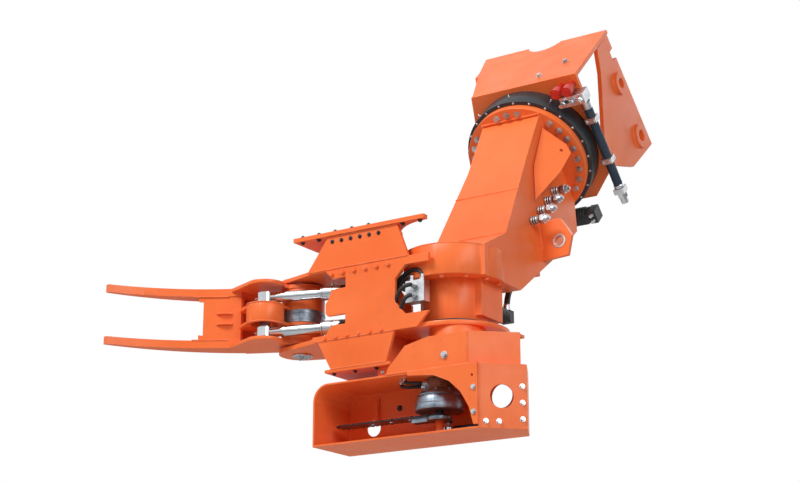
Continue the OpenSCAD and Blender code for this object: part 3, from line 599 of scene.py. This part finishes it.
def build_frame():
    welds = Shape()
    welds.bead([at(-688, SEAM_Y, 1), at(-96, SEAM_Y, 1)], 4)
    welds.bead([at(-646, SEAM_Y, FLOOR_Z), at(-178, SEAM_Y, FLOOR_Z)], 4)
    welds.bead([at(-586, -299, 178), at(-162, -299, 178)], 5)
    welds.bead([at(-562, -299, -529), at(-226, -299, -529)], 4)
    for x in (-588, -328):
        welds.bead([at(x, -278, 22), at(x, -278, 176)], 4)
        welds.bead([at(x, -270, 21), at(x, -102, 21)], 4)
    welds.bead([at(-688, -279, 21), at(-330, -279, 21)], 4)
    welds.bead([at(-680, 101, 21), at(-460, 101, 21)], 4)
    piece("frame_welds", welds, ORANGE, "frame")

    dark = Shape()
    for x in range(-560, -215, 58):
        dark.bolt(at(x, FACE_Y, 150), FRONT, 15)
    for x in range(-760, -19, 105):
        if abs(x) > 250:
            dark.bolt(at(x, -288, 202), UP, 20)
        dark.bolt(at(x, -288, 180), -UP, 18)
    for x in (-560, -430, -300):
        for y in (-270, -60):
            dark.bolt(at(x, y, -546), -UP, 16)
    for k in range(12):
        angle = math.radians(30 * k + 10)
        dark.bolt(at(190.5 * math.cos(angle), 190.5 * math.sin(angle), -340), UP, 13)
    piece("frame_fasteners", dark, DARK, "frame")

    bright = Shape()
    for z, way in ((32, UP), (-388, -UP)):
        for k in range(3):
            angle = math.radians(120 * k + 30)
            bright.bolt(on_claw(33 * math.cos(angle), 33 * math.sin(angle), z), way, 15)
        bright.nipple(on_claw(0, 0, z), way)
    for z, way in ((20, UP), (FLOOR_Z, -UP)):
        bright.slab([at(-362, -132, z), at(-278, -132, z), at(-278, -84, z), at(-362, -84, z)],
                    way, 8)
        for x in (-348, -292):
            bright.bolt(at(x, -96, z) + way * 0.008, way, 12)
        bright.nipple(at(-320, -112, z) + way * 0.008, way)
    piece("pin_keepers", bright, ZINC, "frame")

    hoses = Shape()
    for route in (
            [(-65, -284, -158), (-65, -316, -158), (-98, -332, -168), (-146, -312, -196),
             (-184, -270, -236), (-206, -238, -286), (-214, -214, -330), (-214, -206, -352)],
            [(-65, -284, -210), (-65, -312, -210), (-94, -326, -226), (-132, -300, -258),
             (-160, -262, -292), (-176, -232, -328), (-178, -224, -352)],
            [(-30, -262, -128), (-30, -262, -98), (-52, -258, -70), (-108, -250, -62),
             (-168, -246, -92), (-224, -240, -150), (-262, -228, -226), (-282, -214, -312),
             (-286, -210, -352)],
            [(-92, -262, -128), (-92, -262, -112), (-112, -256, -96), (-158, -250, -112),
             (-196, -246, -168), (-226, -238, -240), (-246, -226, -316), (-250, -220, -352)]):
        hoses.tube(smooth_path([at(*p) for p in route]), 10.5, 14)
    main = [(-120, -250, -160), (-134, -250, -160), (-165, -251, -150), (-195, -252, -158),
            (-218, -252, -185), (-226, -250, -225), (-224, -246, -270), (-215, -242, -310),
            (-210, -240, -340), (-210, -240, -352)]
    hoses.tube(smooth_path([at(*p) for p in main], 2), 13, 16)
    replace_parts(piece("frame_hose_skins", hoses, HOSE, "frame"), "frame_hose")
    ends = Shape()
    for place, way in (((-65, -281, -158), FRONT), ((-65, -281, -210), FRONT),
                       ((-30, -262, -129), UP), ((-92, -262, -129), UP),
                       ((-119, -250, -160), -SIDE)):
        ends.turned(at(*place), way, [(15, 0), (15, 13), (12.5, 15), (12.5, 30)], 6)
    for x, y in ((-214, -206), (-178, -224), (-286, -210), (-250, -220), (-210, -240)):
        ends.turned(at(x, y, -352), UP, [(16, 0), (16, 12), (13, 14), (13, 34)], 6)
    piece("frame_hose_ends", ends, ZINC, "frame")


build_frame()


# Claw and its cylinders

CYL_WAY = Vector((-0.961229, -0.275751, 0))
CYL_BASE = (-320, -108)
CYL_HEIGHTS = (-92, -279)
ROD_END = 0.697334


def arc(a, b, sag, count):
    """Points of a circular arc from a to b that bulges by sag."""
    a, b = Vector(a), Vector(b)
    half = (b - a).length / 2
    radius = (half * half + sag * sag) / (2 * sag)
    d = (b - a).normalized()
    centre = (a + b) / 2 + (radius - sag) * Vector((-d.y, d.x))
    first = math.atan2(a.y - centre.y, a.x - centre.x)
    sweep = 2 * math.asin(half / radius)
    return [centre + radius * Vector((math.cos(first + sweep * i / count),
                                      math.sin(first + sweep * i / count)))
            for i in range(count + 1)]


def spoke_at(degrees):
    return Vector((math.cos(math.radians(degrees)), math.sin(math.radians(degrees))))


def build_claw():
    tip = 1050 * spoke_at(218)
    front = arc((-150, -150), tip + Vector((22, -8)), 70, 39)
    back = arc((-110, 40), tip, 95, 42)
    welds = Shape()
    lug = 224 * spoke_at(243.4)
    for z in (-237, -134):
        welds.bead(circle(on_claw(lug.x, lug.y, z), UP, 100.5, 48), 3.5, True)
    for z in (-32, -317):
        welds.bead(circle(on_claw(0, 0, z), UP, 116, 48), 4, True)
    for z in (-55, -294):
        welds.bead([on_claw(p.x, p.y, z) for p in front[9:19]], 4)
        welds.bead([on_claw(p.x, p.y, z) for p in back[9:21]], 4)
    ribs = Shape()
    across_web = [i for i in range(8, 39) if -395 < front[i].x < -276]
    for z in (-148, -206):
        rings = []
        for i in across_web:
            p = front[i]
            run = (front[i + 1] - front[i - 1]).normalized()
            out = Vector((-run.y, run.x))
            if out.dot(Vector((0.6, -0.8))) < 0:
                out = -out
            tall = 16 if across_web[0] < i < across_web[-1] else 3
            inner, outer = p - out * 6, p + out * tall
            rings.append([on_claw(inner.x, inner.y, z - 5), on_claw(outer.x, outer.y, z - 4),
                          on_claw(outer.x, outer.y, z + 4), on_claw(inner.x, inner.y, z + 5)])
        ribs.rings(rings)
    piece("claw_welds", welds, ORANGE, "claw")
    piece("claw_ribs", ribs, ORANGE, "claw")

    sleeve = Shape()
    sleeve.turned(on_claw(0, 0, -219), UP, [(115, 0), (117.5, 1.5), (117.5, 12), (119, 13),
                                            (119, 20), (116.5, 21), (116.5, 47), (119, 48),
                                            (119, 55), (117.5, 56), (117.5, 66.5), (115, 68)], 96)
    piece("hub_sleeve", sleeve, BLUED, "claw")

    barrels, heads, seals, ports = Shape(), Shape(), Shape(), Shape()
    for z, side in zip(CYL_HEIGHTS, (UP, CYL_WAY.cross(UP))):
        base = at(*CYL_BASE, z)
        heads.collar(base + CYL_WAY * 0.3695, CYL_WAY, 28.4, 35, 9, 48)
        heads.collar(base + CYL_WAY * 0.268, CYL_WAY, 36, 38.7, 44, 64, 0.8)
        heads.collar(base + CYL_WAY * 0.315, CYL_WAY, 36, 38.4, 52, 64, 0.8)
        barrels.bead(circle(base + CYL_WAY * 0.046, CYL_WAY, 37, 36), 3, True)
        seals.collar(base + CYL_WAY * 0.3785, CYL_WAY, 28.2, 31, 2.5, 36, 0.6)
        for run in (0.075, 0.325):
            ports.turned(base + CYL_WAY * run + side * 0.036, side,
                         [(13, 0), (13, 6), (10, 7), (10, 15), (8, 17)], 6)
        ports.tube([base + CYL_WAY * run + side * 0.0485 for run in (0.075, 0.315)], 3.2, 10)
        ports.nipple(base - CYL_WAY * 0.044, -CYL_WAY)
    piece("barrel_welds", barrels, DARK, "claw_barrels")
    piece("barrel_heads", heads, ZINC, "claw_barrels")
    piece("barrel_wipers", seals, SEAL, "claw_barrels")
    piece("barrel_ports", ports, ZINC, "claw_barrels")

    eyes = Shape()
    for z in CYL_HEIGHTS:
        end = at(*CYL_BASE, z) + CYL_WAY * ROD_END
        for way in (UP, -UP):
            eyes.turned(end + way * 0.0245, way, [(30, 0), (30, 3), (27, 4), (12, 4)], 32)
        eyes.nipple(end + CYL_WAY * 0.0435, CYL_WAY)
    piece("rod_eye_caps", eyes, ZINC, "claw_rods")


build_claw()


# Saw

SAW = (-16.0, -130.0)
BAR_Z = -800.0
BOX_TOP = -599
BOX_WALL_Y = 20
NOSE_X = SAW[0] - 551
FEED_WAY = Vector((-0.998226, -0.059540, 0))


def build_chain():
    """Side links, tie straps and cutters of a harvester chain round the parked bar."""
    run = 563.0
    radius = 46.5
    length = 2 * run + 2 * math.pi * radius
    count = 96
    steel = Shape()

    def place(s, out, z):
        s %= length
        if s < run:
            x, y, nx, ny = -s, -radius, 0, -1
        elif s < run + math.pi * radius:
            a = -math.pi / 2 - (s - run) / radius
            nx, ny = math.cos(a), math.sin(a)
            x, y = -run + radius * nx, radius * ny
        elif s < 2 * run + math.pi * radius:
            x, y, nx, ny = -run + (s - run - math.pi * radius), radius, 0, 1
        else:
            a = math.pi / 2 - (s - 2 * run - math.pi * radius) / radius
            nx, ny = math.cos(a), math.sin(a)
            x, y = radius * nx, radius * ny
        return at(SAW[0] + x + nx * out, SAW[1] + y + ny * out, z)

    pitch = length / count
    for i in range(count):
        s = i * pitch
        z_sets = ((-3.8, -2.2), (2.2, 3.8)) if i % 2 else ((-1.8, 1.8),)
        tall = 6.0 if i % 4 == 1 else (2.4 if i % 2 else 1.2)
        for low, high in z_sets:
            side = []
            for z in (low, high):
                side.append([place(s - pitch * 0.62, -3.4, BAR_Z + z),
                             place(s + pitch * 0.62, -3.4, BAR_Z + z),
                             place(s + pitch * 0.62, 1.6, BAR_Z + z),
                             place(s + pitch * 0.30, tall, BAR_Z + z),
                             place(s - pitch * 0.25, tall * 0.8, BAR_Z + z),
                             place(s - pitch * 0.62, 1.2, BAR_Z + z)])
            steel.rings(side)
        if i % 2:
            for end in (-0.5, 0.5):
                steel.turned(place(s + pitch * end, -0.8, BAR_Z - 4), UP,
                             [(1.6, 0), (2.1, 0.3), (2.1, 7.7), (1.6, 8)], 8)
    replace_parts(piece("saw_chain_links", steel, CHAIN, "saw_arm"), "saw_chain")


def build_saw():
    welds = Shape()
    welds.bead([at(-222, SEAM_Y, BOX_TOP), at(250, SEAM_Y, BOX_TOP), at(448, -129, BOX_TOP)], 4)
    welds.bead([at(-222, -283, BOX_TOP), at(20, -283, BOX_TOP)], 4)
    welds.bead(circle(at(80, -110, -435), UP, 141, 60), 4, True)
    welds.bead([at(250, -300, -598), at(250, -300, -438)], 3)
    welds.bead([at(-658, 19, -909), at(380, 19, -909)], 4)
    welds.bead([at(311, -301, -602), at(311, -301, -915)], 3)
    piece("saw_welds", welds, ORANGE, "frame")

    inner = Shape()
    for x, z in ((-350, -700), (-150, -700), (-430, -868), (-240, -868), (-60, -868)):
        inner.bolt(at(x, BOX_WALL_Y, z), FRONT, 20)
    piece("box_wall_bolts", inner, DARK, "frame")
    bracket = Shape()
    bracket.slab([at(-500, BOX_WALL_Y, -640), at(-470, BOX_WALL_Y, -640),
                  at(-470, BOX_WALL_Y, -770), at(-500, BOX_WALL_Y, -770)], FRONT, 14)
    bracket.slab([at(-496, 6, -655), at(-474, 6, -655), at(-474, 6, -752), at(-496, 6, -752)],
                 FRONT, 10)
    piece("box_wall_rib", bracket, ORANGE, "frame")

    motor = Shape()
    for radius, z in ((123, -752), (111, -706)):
        motor.collar(at(SAW[0], SAW[1], z), UP, radius - 9, radius, 6, 64)
    for k in range(8):
        angle = math.radians(45 * k + 22)
        spoke = Vector((math.cos(angle), math.sin(angle), 0))
        motor.bolt(at(SAW[0], SAW[1], -679.5) + spoke * 0.088, spoke * 0.656 + UP * 0.755, 13)
    piece("saw_motor_trim", motor, STEEL, "frame")

    lines = Shape()
    unions = Shape()
    for angle, z, x, y in ((200, -648, -218, -170), (226, -640, -172, -212)):
        spoke = Vector((math.cos(math.radians(angle)), math.sin(math.radians(angle)), 0))
        start = at(SAW[0], SAW[1], z) + spoke * 0.060
        lines.tube(smooth_path([start, start + spoke * 0.055, at(x + 36, y, z + 4),
                                at(x + 6, y, z + 10), at(x, y, z + 22), at(x, y, -610)]), 9, 12)
        unions.turned(start, spoke, [(14, 0), (14, 14), (11.5, 16), (11.5, 30)], 6)
        unions.turned(at(x, y, -610.5), -UP, [(14, 0), (14, 9), (11, 11), (11, 18)], 6)
    piece("saw_motor_hoses", lines, HOSE, "frame")
    for x in (-270, -150):
        unions.bolt(at(x, -260, -573), FRONT, 12)
    unions.turned(at(-210, -260, -573), FRONT, [(17, 0), (17, 7), (15, 9), (7, 9), (7, 12)], 24)
    piece("saw_unions", unions, ZINC, "frame")

    rivets = Shape()
    rivets.turned(at(NOSE_X, SAW[1], -803.4), UP, [(11, 0), (11, 6.8)], 24)
    for k in range(6):
        angle = math.radians(60 * k)
        rivets.turned(at(NOSE_X + 16 * math.cos(angle), SAW[1] + 16 * math.sin(angle),
                         -803.3), UP, [(1.8, 0), (1.8, 6.6)], 10)
    for x in (-62, -96, -130):
        rivets.bolt(at(SAW[0] + x, SAW[1], BAR_Z + 3), UP, 11)
    piece("bar_nose_rivets", rivets, STEEL, "saw_arm")

    feed = Shape()
    start = at(164, -60, -866)
    feed.collar(start + FEED_WAY * 0.1235, FEED_WAY, 10.3, 17, 7, 28)
    feed.turned(start + UP * 0.016, UP, [(14, 0), (14, 3), (12, 4)], 24)
    piece("feed_gland", feed, ZINC, "saw_feed_barrel")


build_chain()
build_saw()


# Stage, lights and camera

FLOOR_DROP = 1.0
FLOOR_SIZE = 60.0
WORLD_LIGHT = 0.17
WORLD_SEEN = 1.0


def floor_material(name, colour):
    mat, tree, shader = node_tree(name)
    coords = object_coords(tree)
    tone = ramp(tree, noise(tree, coords, 0.6, 2.0), 0.3, 0.7, 0.97, 1.0)
    mixed = mix(tree, tone, (0.0, 0.0, 0.0, 1.0), colour)
    tree.links.new(mixed, shader.inputs["Base Color"])
    shader.inputs["Roughness"].default_value = 0.9
    return mat


def build_stage():
    height = CAMERA.z - FLOOR_DROP
    mesh = bpy.data.meshes.new("studio_floor")
    corners = ((-1, -1), (1, -1), (1, 1), (-1, 1))
    mesh.from_pydata([(FLOOR_SIZE * x, FLOOR_SIZE * y, height) for x, y in corners], [],
                     [(0, 1, 2, 3)])
    floor = bpy.data.objects.new("studio_floor", mesh)
    scene.collection.objects.link(floor)
    mesh.materials.append(floor_material("studio_floor", (0.86, 0.86, 0.86, 1.0)))


def area_light(name, place, target, energy, size):
    data = bpy.data.lights.new(name, "AREA")
    data.energy = energy
    data.size = size
    obj = bpy.data.objects.new(name, data)
    obj.location = place
    obj.rotation_euler = (Vector(target) - Vector(place)).to_track_quat("-Z", "Y").to_euler()
    scene.collection.objects.link(obj)


def build_lights(middle):
    area_light("key_light", middle + Vector((-1.6, -6.8, 6.2)), middle, 700.0, 3.0)
    area_light("fill_light", middle + Vector((7.4, -4.5, 2.6)), middle, 260.0, 4.0)
    area_light("rim_light", middle + Vector((1.0, 6.5, 5.0)), middle, 150.0, 4.0)
    world = bpy.data.worlds.new("studio_world")
    scene.world = world
    world.use_nodes = True
    tree = world.node_tree
    background = tree.nodes["Background"]
    background.inputs["Color"].default_value = (1.0, 1.0, 1.0, 1.0)
    path = tree.nodes.new("ShaderNodeLightPath")
    seen = add(tree, "ShaderNodeMath", operation="MAXIMUM")
    tree.links.new(path.outputs["Is Camera Ray"], seen.inputs[0])
    tree.links.new(path.outputs["Is Glossy Ray"], seen.inputs[1])
    through = add(tree, "ShaderNodeMath", operation="MAXIMUM")
    tree.links.new(seen.outputs["Value"], through.inputs[0])
    tree.links.new(path.outputs["Is Transmission Ray"], through.inputs[1])
    level = ramp(tree, through.outputs["Value"], 0.0, 1.0, WORLD_LIGHT, WORLD_SEEN)
    tree.links.new(level, background.inputs["Strength"])


def build_camera(middle):
    data = bpy.data.cameras.new("photo_camera")
    data.sensor_width = 36.0
    data.lens = 76.5
    camera = bpy.data.objects.new("photo_camera", data)
    camera.location = CAMERA
    camera.rotation_euler = (middle - camera.location).to_track_quat("-Z", "Y").to_euler()
    scene.collection.objects.link(camera)
    scene.camera = camera


middle = (Vector(cad_box[0]) + Vector(cad_box[1])) / 2
build_stage()
build_lights(middle)
build_camera(middle)

scene.view_settings.view_transform = "Standard"
